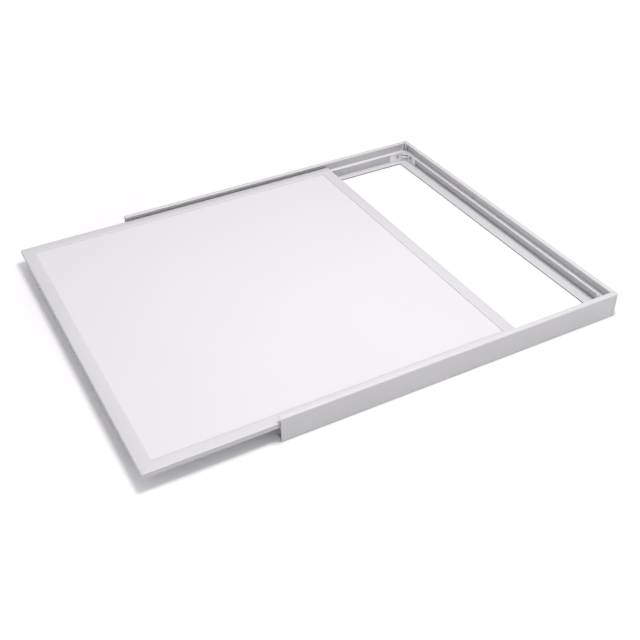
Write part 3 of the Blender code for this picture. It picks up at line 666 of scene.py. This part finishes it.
def corner_wedge(side):
    """What rounding an outer corner takes off a lip that runs over it."""
    points = [(-MM, -MM), (CORNER_RADIUS, -MM)]
    points += arc((CORNER_RADIUS, CORNER_RADIUS), CORNER_RADIUS, 270, 180, 16)
    points += [(-MM, CORNER_RADIUS)]
    return prism(side, points, HEIGHT - WEDGE_DEPTH, HEIGHT + MM)


def corner_bracket(name, side):
    """Casting: a rounded post, two arms with recesses, and a slotted web across the corner."""
    post = [(POST_REACH, 0.0)] + arc((CORNER_RADIUS, CORNER_RADIUS), CORNER_RADIUS, 270, 180, 16)
    post += [(0.0, POST_REACH), (WEB, POST_REACH)]
    post += arc((CORNER_RADIUS, CORNER_RADIUS), CORNER_RADIUS - WEB, 180, 270, 16)
    post += [(POST_REACH, WEB)]
    top = HEIGHT - LIP_THICKNESS - 2 * GAP
    bracket = solid("cast_" + name, prism(side, post, 0.0, top), CAST)
    face, step = WEB + GAP, POST_REACH - 0.1 * MM
    body = [(ARM_LENGTH, face), (step, face), (step, WEB / 2)]
    body += arc((CORNER_RADIUS, CORNER_RADIUS), CORNER_RADIUS - WEB / 2, 265, 185, 12)
    body += [(WEB / 2, step), (face, step), (face, ARM_LENGTH), (ARM_INNER, ARM_LENGTH),
             (ARM_INNER, ARM_INNER), (ARM_LENGTH, ARM_INNER)]
    carve(bracket, prism(side, body, ARM_BOTTOM, ARM_TOP), "UNION")
    deep = ARM_INNER - SLOT_DEPTH
    web = [(deep, deep), (ARM_INNER + CHAMFER, deep), (ARM_INNER + CHAMFER, ARM_INNER),
           (ARM_INNER, ARM_INNER + CHAMFER), (deep, ARM_INNER + CHAMFER)]
    carve(bracket, prism(side, web, RIB_TOP + GAP, ARM_TOP), "UNION")
    slot = [(SLOT_REACH, deep), (deep + CHAMFER + SLOT_DEPTH, deep),
            (deep, deep + CHAMFER + SLOT_DEPTH), (deep, SLOT_REACH), (SLOT_REACH, SLOT_REACH)]
    for level in SLOT_LEVELS:
        carve(bracket, prism(side, slot, level, level + SLOT_HEIGHT))
    for along_side in (True, False):
        recess, hole = arm_cutters(side, along_side)
        carve(bracket, recess)
        carve(bracket, hole)
    softened(bracket, BRACKET_EDGE)
    tone_bracket(bracket, side)
    return finish(bracket, "frame", "cast_zinc", name)


def tone_bracket(bracket, side):
    """Paints shade into the slots, and paints the post's outer faces darker as shade."""
    bracket.data.materials.append(SLOT_SHADE_CAST)
    bracket.data.materials.append(SHADED_POST_CAST)
    corner = Vector((*corner_point(side, 0, 0), 0))
    for polygon in bracket.data.polygons:
        offset = polygon.center - corner
        reach = Vector((-offset.x, -side * offset.y))
        levels = [bracket.data.vertices[i].co.z for i in polygon.vertices]
        low, high = min(levels) + SLOT_PLAY, max(levels) - SLOT_PLAY
        in_slot = any(level < low and high < level + SLOT_HEIGHT for level in SLOT_LEVELS)
        upright = abs(polygon.normal.z) < 0.5
        # Slot faces far enough in take the painted shade.
        if in_slot and min(reach) > WEB + GAP and slot_depth(reach) > SHADE_DEPTH:
            polygon.material_index = 1
        # The post's outer faces take the painted shade.
        elif min(reach) < OUTER_DEPTH and max(reach) < POST_REACH + MM and upright:
            polygon.material_index = 2


def slot_depth(reach):
    """How far behind the bracket's inner faces a point lies."""
    behind_chamfer = (2 * ARM_INNER + CHAMFER - sum(reach)) / math.sqrt(2)
    if max(reach) < ARM_INNER + CHAMFER:
        return behind_chamfer
    return min(behind_chamfer, ARM_INNER - min(reach))


def arm_cutters(side, along_side):
    """The oblong recess and the screw hole of one arm."""
    reach = (RECESS_LENGTH - RECESS_HEIGHT) / 2
    ends = arc((SCREW_SPOT + reach, ARM_LEVEL), RECESS_HEIGHT / 2, -90, 90, 16)
    ends += arc((SCREW_SPOT - reach, ARM_LEVEL), RECESS_HEIGHT / 2, 90, 270, 16)
    floor, middle = ARM_INNER - RECESS_DEPTH, ARM_INNER - ARM_THICKNESS / 2
    if along_side:
        near = side * (SIDE_Y - floor)
        recess = extruded([(END_X - a, z) for a, z in ends], "Y",
                          *sorted((near, near - side * 3 * MM)))
        center = (*corner_point(side, SCREW_SPOT, middle), ARM_LEVEL)
        return recess, rod(center, (0, 1, 0), ARM_HOLE_RADIUS, DRILL_LENGTH)
    outline = [(side * (SIDE_Y - a), z) for a, z in ends]
    recess = extruded(outline, "X", END_X - floor - 3 * MM, END_X - floor)
    center = (*corner_point(side, middle, SCREW_SPOT), ARM_LEVEL)
    return recess, rod(center, (1, 0, 0), ARM_HOLE_RADIUS, DRILL_LENGTH)


# ---- screws -------------------------------------------------------------------------------
BRACKET_SHANK = 2.0 * MM
BRACKET_HEAD = 3.1 * MM
BRACKET_HEAD_HEIGHT = 2.0 * MM
THREAD_ROOT = 0.84                   # as a share of the shank's radius


def pan_screw(name, mat, shank, length, head, head_height, steps=48):
    """Pan-head screw along Z with a domed head, a cross recess and a threaded shank."""
    dome = [(head * 0.97, 0.0), (head, 0.04 * head), (head, head_height * 0.32)]
    for i in range(1, 9):
        a = math.radians(90 * i / 8)
        dome.append((head * (0.42 + 0.58 * math.cos(a)), head_height * (0.32 + 0.68 * math.sin(a))))
    thread = []
    root = shank * THREAD_ROOT
    pitch = max(0.45 * MM, length / 9)
    for i in range(int(length / pitch)):
        z = -length + 0.3 * shank + i * pitch
        if z + pitch < -0.1 * MM:
            thread += [(root, z), (shank, z + pitch * 0.45), (shank, z + pitch * 0.55)]
    profile = [(0.0, -length), (shank * 0.70, -length), (root, -length + shank * 0.2)]
    profile += thread + [(root, -0.02 * MM), (shank * 0.86, 0.0)]
    profile += dome + [(0.0, head_height)]
    screw = solid(name, turned(profile, steps), mat)
    arm, width, deep = head * 0.52, head * 0.12, head_height * 0.55
    for a, b in ((arm, width), (width, arm)):
        low = [(-a * 0.6, -b * 0.8), (a * 0.6, -b * 0.8), (a * 0.6, b * 0.8), (-a * 0.6, b * 0.8)]
        high = [(-a, -b), (a, -b), (a, b), (-a, b)]
        carve(screw, lofted([(low, head_height - deep), (high, head_height + 0.1 * MM)], "Z"))
    return screw


def place_screws(pattern, direction, names, body, slot):
    """One screw in place of each named CAD screw, its head facing a direction."""
    turn = Vector((0, 0, 1)).rotation_difference(Vector(direction)).to_matrix().to_4x4()
    height = max(v.co.z for v in pattern.data.vertices)
    for node in names:
        low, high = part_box(node)
        middle = (low + high) / 2
        face = Vector([h if d > 0 else l for l, h, d in zip(low, high, direction)])
        seat = Vector([f - d * height if d else m for f, d, m in zip(face, direction, middle)])
        mesh = pattern.data.copy()
        mesh.transform(Matrix.Translation(seat) @ turn)
        copy = link(bpy.data.objects.new("plated_" + node, mesh))
        finish(copy, body, slot, node)
    bpy.data.objects.remove(pattern, do_unlink=True)


def bracket_screws():
    length = ARM_THICKNESS - RECESS_DEPTH + GAP
    for label, side in (("front", -1), ("back", 1)):
        for place, direction in (("side", (0, -side, 0)), ("end", (-1, 0, 0))):
            pattern = pan_screw("set_screw", SCREW, BRACKET_SHANK, length, BRACKET_HEAD,
                                BRACKET_HEAD_HEIGHT)
            place_screws(pattern, direction, [f"bracket_screw_{label}_{place}_1"], "frame",
                         "bracket_screw")


# ---- panel --------------------------------------------------------------------------------
THICKNESS = PANEL_HIGH.z - PANEL_LOW.z
BEZEL_WIDTH = 20 * MM
BEZEL_SKIN = 1.0 * MM
BEZEL_WALL = 1.2 * MM
SLOPE_WIDTH = 3.2 * MM
SLOPE_EDGE = 0.12 * MM
SHARP_EDGE = 0.75 * MM
SHELF_REACH = 13 * MM
SHELF_BOTTOM = 1.2 * MM
SHELF_TOP = 2.2 * MM
COVER_INSET = 10.5 * MM
COVER_SPREAD = 170 * MM
COVER_HOLE_RADIUS = 1.5 * MM
MITRE_GAP = 0.08 * MM                # left at each end of a bezel side
DIFFUSER_RADIUS = 0.6 * MM


def bezel_outline(step):
    """Bezel section: rounded outer edge, flat face, and a slope down to a step."""
    skin = THICKNESS - BEZEL_SKIN
    corners = [(BEZEL_WALL, 0.0, 0.1), (0.0, 0.0, 0.25), (0.0, THICKNESS, 0.8),
               (BEZEL_WIDTH - SLOPE_WIDTH, THICKNESS, 2.5),
               (BEZEL_WIDTH, skin + step, 0.05), (BEZEL_WIDTH, skin, 0.0),
               (BEZEL_WALL, skin, 0.3), (BEZEL_WALL, SHELF_TOP, 0.3),
               (SHELF_REACH, SHELF_TOP, 0.2), (SHELF_REACH, SHELF_BOTTOM, 0.2),
               (BEZEL_WALL, SHELF_BOTTOM, 0.3)]
    return filleted([(a, b, r * MM) for a, b, r in corners], 4)


def bezel(label, turn, mat):
    """One mitred side, built along X in front of the panel's middle and turned into place."""
    step = SHARP_EDGE if label == "leading" else SLOPE_EDGE
    outline = [(s - HALF, h) for s, h in bezel_outline(step)]
    bm = extruded(outline, "X", -1.0, 1.0)
    for vert in bm.verts:
        vert.co.x *= HALF - (vert.co.y + HALF) - MITRE_GAP
    side = solid(f"satin_bezel_{label}", bm, mat)
    # The bezel's outer side faces take the painted shade.
    side.data.materials.append(BEZEL_SHADED_SIDE_X if mat is BEZEL_X else BEZEL_SHADED_SIDE_Y)
    for polygon in side.data.polygons:
        if polygon.normal.y < -0.95 and polygon.center.y < 0.1 * MM - HALF:
            polygon.material_index = 1
    for x in (-COVER_SPREAD, COVER_SPREAD):
        carve(side, rod((x, COVER_INSET - HALF, SHELF_BOTTOM), (0, 0, 1), COVER_HOLE_RADIUS,
                        3 * MM, 24))
    to_place = Matrix.Translation((CENTER.x, CENTER.y, PANEL_Z))
    side.data.transform(to_place @ Matrix.Rotation(math.radians(turn), 4, "Z"))
    return finish(side, "panel", "bezel", f"bezel_{label}")


def diffuser():
    """The opal plate, with a small radius round its edge."""
    low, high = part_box("diffuser")
    outline = rounded(low, high, DIFFUSER_RADIUS, 3)
    plate = solid("opal_plate", extruded(outline, "Z", low.z, high.z, 0.2 * MM), OPAL)
    return finish(plate, "panel", "opal_acrylic", "diffuser")


# ---- behind the panel ---------------------------------------------------------------------
SLOTS = {row["node"]: row["material_slot"] for row in frame["record"]["subparts"]}
SMALL_SHANK = 1.15 * MM
SMALL_HEAD = 2.6 * MM
SMALL_HEAD_HEIGHT = 1.1 * MM
LEAD_HOLE_RADIUS = 3 * MM
BEAD_DEPTH = 0.7 * MM
BEAD_SLOPE = 2 * MM
BEADS = ((0, 0.175, 0.36, 0.012), (0, -0.175, 0.36, 0.012), (0.215, 0, 0.012, 0.24),
         (-0.215, 0, 0.012, 0.24))         # middle X and Y from the panel's, length and width
CASE_LOW, CASE_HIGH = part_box("driver_case")
LID_LOW, LID_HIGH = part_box("driver_lid")
LEAD_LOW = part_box("dc_lead")[0]
ENTRY_LOW, ENTRY_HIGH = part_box("lead_entry")
CLIP_LOW, CLIP_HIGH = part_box("lead_clip")
CASE_WALL = 1.2 * MM
CASE_FLOOR = 1.4 * MM
CASE_RADIUS = 2.5 * MM
EAR_THICKNESS = 1.4 * MM
EAR_HALF_WIDTH = 10 * MM
BORE_RADIUS = 3.6 * MM
INLET_LEVEL = PANEL_Z - 10 * MM
OUTLET_LEVEL = PANEL_Z - 5.8 * MM
LEAD_RADIUS = 2 * MM
LEAD_LEVEL = PANEL_Z - 3.2 * MM
LEAD_BEND = 14 * MM
LEAD_SIDES = 24
CASE_VENTS = 11
CASE_VENT_START = 30 * MM            # from the case's left end to its first vent
CASE_VENT_HALF = Vector((0.9 * MM, 4.5 * MM))
LID_VENTS = 9
LID_VENT_HALF = Vector((MM, 4 * MM))
LID_VENT_ROW = 6 * MM
VENT_PITCH = 9 * MM
LID_PLATE = 1.0 * MM
LID_GROOVE_DEPTH = 0.35 * MM
ENTRY_BORE_DEPTH = 9 * MM


def back_cover():
    """Sheet steel cover with pressed stiffening beads and its holes."""
    sheet = solid("pressed_back_cover", extruded(rounded(COVER_LOW, COVER_HIGH, 3 * MM), "Z",
                                                 COVER_LOW.z, COVER_HIGH.z, 0.08 * MM), COVER)
    for x, y, length, width in BEADS:
        half = Vector((length / 2, width / 2))
        middle = Vector((CENTER.x + x, CENTER.y + y))
        wide = rounded(middle - half, middle + half, min(half) * 0.98, 10)
        bead = [(inset(wide, BEAD_SLOPE), COVER_LOW.z - BEAD_DEPTH),
                (inset(wide, BEAD_SLOPE * 0.8), COVER_LOW.z - BEAD_DEPTH * 0.8),
                (wide, COVER_LOW.z), (wide, COVER_LOW.z + 0.3 * MM)]
        carve(sheet, lofted(bead, "Z"), "UNION")
    for number in range(1, 9):
        low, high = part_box(f"cover_screw_{number}")
        carve(sheet, rod(((low.x + high.x) / 2, (low.y + high.y) / 2, COVER_LOW.z), (0, 0, 1),
                         COVER_HOLE_RADIUS, 4 * MM, 24))
    lead_x = (ENTRY_LOW.x + ENTRY_HIGH.x) / 2
    carve(sheet, rod((lead_x, (ENTRY_LOW.y + ENTRY_HIGH.y) / 2 - 3 * MM, COVER_LOW.z), (0, 0, 1),
                     LEAD_HOLE_RADIUS, 4 * MM))
    return finish(sheet, "panel", SLOTS["back_cover"], "back_cover")


def cover_screws():
    names = [f"cover_screw_{n}" for n in range(1, 9)] + ["driver_screw_1", "driver_screw_2"]
    low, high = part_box(names[0])
    pattern = pan_screw("small_screw", SMALL_SCREW, SMALL_SHANK,
                        high.z - low.z - SMALL_HEAD_HEIGHT, SMALL_HEAD, SMALL_HEAD_HEIGHT, 32)
    place_screws(pattern, (0, 0, -1), names, "panel", SLOTS[names[0]])


def driver_case():
    """Moulded tray, open downward: rounded corners, ears, side vents and lead bores."""
    left, right = LID_LOW.x, LID_HIGH.x
    low, high = Vector((left, CASE_LOW.y)), Vector((right, CASE_HIGH.y))
    wall = Vector((CASE_WALL, CASE_WALL))
    case = solid("moulded_driver_case", extruded(rounded(low, high, CASE_RADIUS), "Z",
                                                 CASE_LOW.z, CASE_HIGH.z, 0.5 * MM), CASE)
    ears = rounded((CASE_LOW.x, CENTER.y - EAR_HALF_WIDTH),
                   (CASE_HIGH.x, CENTER.y + EAR_HALF_WIDTH), 4 * MM)
    carve(case, extruded(ears, "Z", CASE_HIGH.z - EAR_THICKNESS, CASE_HIGH.z, 0.2 * MM), "UNION")
    carve(case, extruded(rounded(low + wall, high - wall, CASE_RADIUS - CASE_WALL), "Z",
                         CASE_LOW.z - 2 * MM, CASE_HIGH.z - CASE_FLOOR))
    for name in ("driver_screw_1", "driver_screw_2"):
        a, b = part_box(name)
        carve(case, rod(((a.x + b.x) / 2, (a.y + b.y) / 2, CASE_HIGH.z), (0, 0, 1),
                        COVER_HOLE_RADIUS, 6 * MM, 24))
    for x, level in ((left, INLET_LEVEL), (right, OUTLET_LEVEL)):
        carve(case, rod((x, CENTER.y, level), (1, 0, 0), BORE_RADIUS, 6 * MM))
    middle = (CASE_LOW.z + CASE_HIGH.z) / 2
    for side in (low.y, high.y):
        for i in range(CASE_VENTS):
            spot = Vector((left + CASE_VENT_START + i * VENT_PITCH, middle))
            vent = rounded(spot - CASE_VENT_HALF, spot + CASE_VENT_HALF, 0.85 * MM, 4)
            carve(case, extruded(vent, "Y", side - 2 * MM, side + 2 * MM))
    return finish(case, "panel", SLOTS["driver_case"], "driver_case")


def driver_lid():
    """Lid plate with a groove round its field, vent slots and a locating rim."""
    plate_top = LID_LOW.z + LID_PLATE
    low, high = Vector(LID_LOW[:2]), Vector(LID_HIGH[:2])
    lid = solid("moulded_driver_lid", extruded(rounded(low, high, CASE_RADIUS), "Z", LID_LOW.z,
                                               plate_top, 0.3 * MM), CASE)
    step = Vector((1, 1)) * (CASE_WALL + GAP)
    rim = rounded(low + step, high - step, 2 * MM)
    carve(lid, extruded(rim, "Z", plate_top - 0.5 * MM, LID_HIGH.z, 0.1 * MM), "UNION")
    carve(lid, extruded(inset(rim, 1.2 * MM), "Z", plate_top, LID_HIGH.z + MM))
    groove = rounded(low + 5 * step, high - 5 * step, 3 * MM, 8)
    ring = solid("groove", extruded(groove, "Z", LID_LOW.z - MM,
                                    LID_LOW.z + LID_GROOVE_DEPTH), CASE)
    carve(ring, extruded(inset(groove, 1 * MM), "Z", LID_LOW.z - 2 * MM, LID_LOW.z + MM))
    bm = bmesh.new()
    bm.from_mesh(ring.data)
    bpy.data.objects.remove(ring, do_unlink=True)
    carve(lid, bm)
    for row in (-1, 1):
        for i in range(LID_VENTS):
            spot = Vector(((low.x + high.x) / 2 + (i - LID_VENTS // 2) * VENT_PITCH,
                           CENTER.y + row * LID_VENT_ROW))
            vent = rounded(spot - LID_VENT_HALF, spot + LID_VENT_HALF, 0.95 * MM, 4)
            carve(lid, extruded(vent, "Z", LID_LOW.z - MM, plate_top + MM))
    return finish(lid, "panel", SLOTS["driver_lid"], "driver_lid")


def lead_path():
    """Centre line of the lead: out of the driver, round a bend and along the cover."""
    run = (ENTRY_LOW.x + ENTRY_HIGH.x) / 2
    free = LID_HIGH.x + 2 * MM
    points = [(LEAD_LOW.x, CENTER.y, OUTLET_LEVEL), (free, CENTER.y, OUTLET_LEVEL)]
    for i in range(1, 12):
        t = i / 12
        ease = t * t * (3 - 2 * t)
        points.append((free + t * (run - LEAD_BEND - free), CENTER.y,
                       OUTLET_LEVEL + ease * (LEAD_LEVEL - OUTLET_LEVEL)))
    points += [(x, y, LEAD_LEVEL) for x, y in
               arc((run - LEAD_BEND, CENTER.y - LEAD_BEND), LEAD_BEND, 90, 0, 14)]
    return [Vector(p) for p in points + [(run, LEAD_LOW.y, LEAD_LEVEL)]]


def lead():
    """Round lead swept along its path."""
    path = lead_path()
    bm = bmesh.new()
    rings = []
    for i, point in enumerate(path):
        ahead = path[min(i + 1, len(path) - 1)] - path[max(i - 1, 0)]
        across = ahead.cross(Vector((0, 0, 1))).normalized()
        over = across.cross(ahead).normalized()
        angles = [2 * math.pi * k / LEAD_SIDES for k in range(LEAD_SIDES)]
        rings.append([bm.verts.new(point + LEAD_RADIUS * (across * math.cos(a)
                                                          + over * math.sin(a))) for a in angles])
    for near, far in zip(rings, rings[1:]):
        for k in range(LEAD_SIDES):
            bm.faces.new((near[k], near[k - 1], far[k - 1], far[k]))
    bm.faces.new(rings[0])
    bm.faces.new(rings[-1])
    bmesh.ops.recalc_face_normals(bm, faces=bm.faces)
    tube = solid("sheathed_dc_lead", bm, RUBBER)
    return finish(tube, "panel", SLOTS["dc_lead"], "dc_lead")


def housing(node, low, high, edge, mat, bore, grooves=0):
    """Small rounded housing with a bore along Y for the lead and grooves across it."""
    box = solid("moulded_" + node, block(low, high), mat)
    softened(box, edge, 4)
    near, far = bore
    carve(box, rod(((low.x + high.x) / 2, (near + far) / 2, LEAD_LEVEL), (0, 1, 0), LEAD_RADIUS + GAP,
                   far - near))
    for i in range(grooves):
        y = low.y + (i + 1) * (high.y - low.y) / (grooves + 1)
        carve(box, block((low.x - MM, y - 0.4 * MM, low.z - MM),
                         (high.x + MM, y + 0.4 * MM, low.z + 0.45 * MM)))
    return finish(box, "panel", SLOTS[node], node)


def lead_fittings():
    """The entry that the lead ends in, and the clip that it passes through."""
    housing("lead_entry", ENTRY_LOW, ENTRY_HIGH, 1.2 * MM, RUBBER,
            (ENTRY_HIGH.y - ENTRY_BORE_DEPTH, ENTRY_HIGH.y + 5 * MM), grooves=3)
    housing("lead_clip", CLIP_LOW, CLIP_HIGH, 1.5 * MM, NYLON,
            (CLIP_LOW.y - MM, CLIP_HIGH.y + MM))


# ---- stage --------------------------------------------------------------------------------
LIGHT_TINT = (1.0, 0.980, 1.012)
KEY_SPOT = Vector((0.12, -0.30, 1.50))
KEY_SIZE = 0.50
KEY_POWER = 14.2
SKY_TILT = Vector((0.05, -0.25, 1.0))        # where the sky is brightest
SKY_LEVELS = ((-0.1, 0.20), (0.95, 0.76))     # (cosine from that direction, brightness)
FLOOR_GLOW = ((0.45, 0.02), (1.30, 1.0))      # (metres from the middle, extra brightness)
FLOOR_HALF = 30.0
FLOOR_THICKNESS = 0.02


def make_floor():
    """Plain white floor that turns into an even white surround away from the object."""
    paint = Paint("studio_floor", roughness=0.9).set(Specular_IOR_Level=0.0)
    paint.color(paint.ramp(paint.noise(0.8, 2), (0.955, 0.955, 0.955), (0.965, 0.965, 0.965)))
    length = paint.nodes.new("ShaderNodeVectorMath")
    length.operation = "LENGTH"
    paint.links.new(paint.place, length.inputs[0])
    (near, dim), (far, bright) = FLOOR_GLOW
    glow = paint.span(length.outputs["Value"], dim, bright, (near, far))
    paint.shader.inputs["Emission Color"].default_value = (1, 1, 1, 1)
    paint.links.new(glow, paint.shader.inputs["Emission Strength"])
    low = (-FLOOR_HALF, -FLOOR_HALF, -FLOOR_THICKNESS)
    high = (FLOOR_HALF, FLOOR_HALF, CAD_LOW.z - 0.02 * MM)
    floor = solid("floor", block(low, high), paint.mat)


def area_light(name, spot, aim, size, power):
    data = bpy.data.lights.new(name, "AREA")
    data.shape, data.size, data.energy, data.color = "DISK", size, power, LIGHT_TINT
    lamp = link(bpy.data.objects.new(name, data))
    lamp.location = spot
    lamp.rotation_mode = "QUATERNION"
    lamp.rotation_quaternion = (spot - aim).to_track_quat("Z", "Y")


def make_world():
    """White to the eye; as light, brightest overhead and in front, dim towards the back."""
    world = bpy.data.worlds.new("studio")
    bpy.context.scene.world = world
    world.use_nodes = True
    nodes, links = world.node_tree.nodes, world.node_tree.links
    nodes.clear()
    out, light, seen, mix, place, turn, ramp, path = (nodes.new("ShaderNode" + kind) for kind in (
        "OutputWorld", "Background", "Background", "MixShader", "TexCoord", "VectorMath",
        "ValToRGB", "LightPath"))
    turn.operation = "DOT_PRODUCT"
    turn.inputs[1].default_value = SKY_TILT.normalized()
    links.new(place.outputs["Generated"], turn.inputs[0])
    spread = nodes.new("ShaderNodeMapRange")
    (low, dim), (high, bright) = SKY_LEVELS
    spread.inputs["From Min"].default_value, spread.inputs["From Max"].default_value = low, high
    links.new(turn.outputs["Value"], spread.inputs["Value"])
    links.new(spread.outputs["Result"], ramp.inputs["Fac"])
    for element, level in zip(ramp.color_ramp.elements, (dim, bright)):
        element.color = (*tint(LIGHT_TINT, level), 1.0)
    links.new(ramp.outputs["Color"], light.inputs["Color"])
    links.new(path.outputs["Is Camera Ray"], mix.inputs["Fac"])
    links.new(light.outputs["Background"], mix.inputs[1])
    links.new(seen.outputs["Background"], mix.inputs[2])
    links.new(mix.outputs["Shader"], out.inputs["Surface"])
    seen.inputs["Color"].default_value = (1, 1, 1, 1)


bpy.context.scene.view_settings.view_transform = "Standard"
make_world()
area_light("key", KEY_SPOT, Vector((0, 0, 0)), KEY_SIZE, KEY_POWER)
make_floor()

dress_nodes()
side_rail("rail_front", -1, FRONT_LOW, FRONT_HIGH)
side_rail("rail_back", 1, BACK_LOW, BACK_HIGH)
end_rail()
corner_bracket("corner_bracket_front", -1)
corner_bracket("corner_bracket_back", 1)
bracket_screws()
for bezel_label, bezel_turn, bezel_mat in (("front", 0, BEZEL_X), ("leading", 90, BEZEL_Y),
                                           ("back", 180, BEZEL_X), ("trailing", 270, BEZEL_Y)):
    bezel(bezel_label, bezel_turn, bezel_mat)
diffuser()
back_cover()
cover_screws()
driver_case()
driver_lid()
lead()
lead_fittings()
